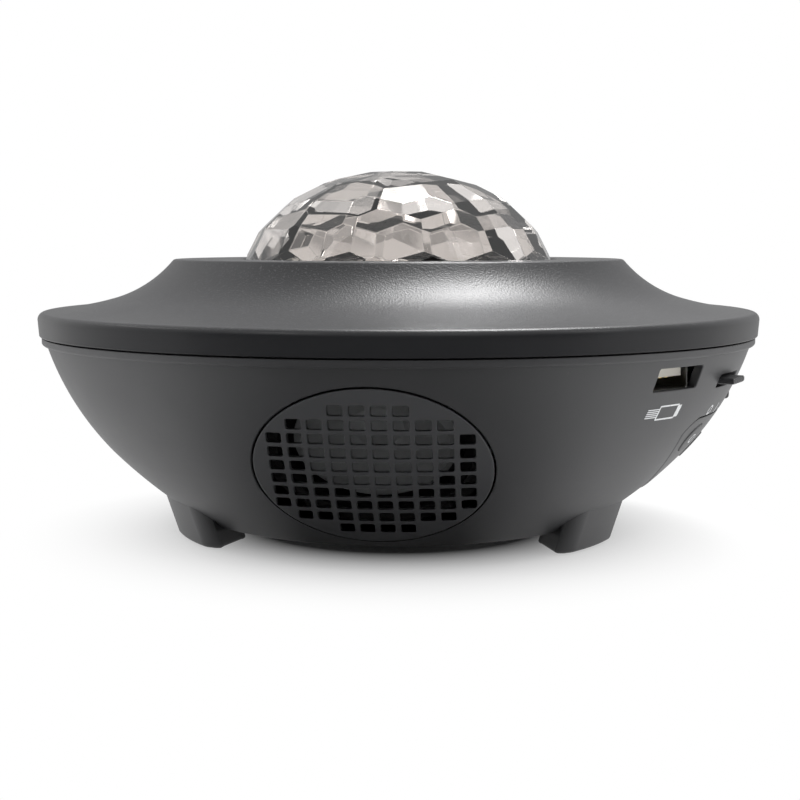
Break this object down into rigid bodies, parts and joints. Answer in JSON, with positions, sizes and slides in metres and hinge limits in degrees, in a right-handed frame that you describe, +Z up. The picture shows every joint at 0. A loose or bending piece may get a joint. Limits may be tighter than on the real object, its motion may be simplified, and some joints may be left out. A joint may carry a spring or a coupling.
{
  "type": "star projector with built-in loudspeaker",
  "caption": "Round table-top star projector: flared cover with a clear faceted dome, bowl body with a speaker grille, USB socket, slide switch, power socket, button panel and block feet.",
  "frame": {"origin": "on the table under the middle of the round rim", "axes": "+Z up, -Y the side of the speaker grille, +X the side of the button panel"},
  "size_m": [0.166, 0.166, 0.0833],
  "materials": {
    "board_green": "solder mask",
    "brass_barrel": "turned",
    "can_metal": "drawn",
    "chip_black": "plain",
    "clear_dome": "clear moulded plastic",
    "cone_paper": "pressed paper",
    "gasket_foam": "matt foam",
    "inner_plastic": "plain black moulding",
    "led_white": "moulded",
    "lens_clear": "polished",
    "magnet_steel": "zinc plated",
    "ripple_clear": "rippled clear sheet",
    "rubber_pad": "matt",
    "shell_black": "satin black plastic, fine spark-eroded grain on top",
    "sink_aluminium": "plain",
    "steel": "zinc plated",
    "usb_metal": "bright nickel",
    "white_plastic": "plain white moulding"
  },
  "bodies": {
    "base": {"board_screws": "steel", "button_board": "board_green", "capacitor": "can_metal", "control_panel": "shell_black", "deck_screws": "steel", "disc_axle": "steel", "dome_lens": "clear_dome", "dome_ring": "inner_plastic", "foot_pad_1": "rubber_pad", "foot_pad_2": "rubber_pad", "foot_pad_3": "rubber_pad", "heat_sink": "sink_aluminium", "jack_body": "inner_plastic", "jack_pin": "brass_barrel", "lamp_housing": "inner_plastic", "lamp_screws": "steel", "laser_module": "brass_barrel", "led_1": "led_white", "led_2": "led_white", "led_3": "led_white", "led_board": "board_green", "led_lens": "lens_clear", "light_deck": "inner_plastic", "lower_shell": "shell_black", "main_board": "board_green", "motor_can": "can_metal", "motor_gearbox": "inner_plastic", "panel_screws": "steel", "port_board": "board_green", "port_screws": "steel", "radio_module": "chip_black", "ring_screws": "steel", "shell_screws": "steel", "speaker_frame": "magnet_steel", "speaker_gasket": "gasket_foam", "speaker_grille": "shell_black", "speaker_magnet": "magnet_steel", "speaker_screws": "steel", "switch_body": "inner_plastic", "tact_switch_1": "chip_black", "tact_switch_2": "chip_black", "tact_switch_3": "chip_black", "tact_switch_4": "chip_black", "tact_switch_5": "chip_black", "upper_shell": "shell_black", "usb_insulator": "inner_plastic", "usb_shell": "usb_metal"},
    "disc": {"disc_gear": "white_plastic", "ripple_disc": "ripple_clear"},
    "pinion": {"drive_pinion": "white_plastic", "motor_shaft": "steel"},
    "knob": {"switch_knob": "shell_black"},
    "cone": {"speaker_cone": "cone_paper"},
    "push_1": {"button_1": "shell_black"},
    "push_2": {"button_2": "shell_black"},
    "push_3": {"button_3": "shell_black"},
    "push_4": {"button_4": "shell_black"},
    "push_5": {"button_5": "shell_black"}
  },
  "joints": [
    {"name": "disc_spin", "type": "hinge", "parent": "base", "child": "disc", "pos_m": [0, 0, 0.0536], "axis": [0, 0, 1], "continuous": true},
    {"name": "pinion_spin", "type": "hinge", "parent": "base", "child": "pinion", "pos_m": [0, 0.0384, 0.0536], "axis": [0, 0, 1], "continuous": true},
    {"name": "power_slide", "type": "slide", "parent": "base", "child": "knob", "axis": [0.3762, 0.9265, 0], "range_m": [0, 0.004]},
    {"name": "cone_stroke", "type": "slide", "parent": "base", "child": "cone", "axis": [0, -0.7593, -0.6508], "range_m": [-0.0008, 0.0008], "stiffness_N_per_m": 2000},
    {"name": "push_1_press", "type": "slide", "parent": "base", "child": "push_1", "axis": [-0.7604, 0, 0.6494], "range_m": [0, 0.0006], "stiffness_N_per_m": 800, "springref_m": -0.0005},
    {"name": "push_2_press", "type": "slide", "parent": "base", "child": "push_2", "axis": [-0.7604, 0, 0.6494], "range_m": [0, 0.0006], "stiffness_N_per_m": 800, "springref_m": -0.0005},
    {"name": "push_3_press", "type": "slide", "parent": "base", "child": "push_3", "axis": [-0.7604, 0, 0.6494], "range_m": [0, 0.0006], "stiffness_N_per_m": 800, "springref_m": -0.0005},
    {"name": "push_4_press", "type": "slide", "parent": "base", "child": "push_4", "axis": [-0.7604, 0, 0.6494], "range_m": [0, 0.0006], "stiffness_N_per_m": 800, "springref_m": -0.0005},
    {"name": "push_5_press", "type": "slide", "parent": "base", "child": "push_5", "axis": [-0.7604, 0, 0.6494], "range_m": [0, 0.0006], "stiffness_N_per_m": 800, "springref_m": -0.0005}
  ],
  "couplings": [
    {"joint": "pinion_spin", "follows": "disc_spin", "ratio": -7}
  ]
}
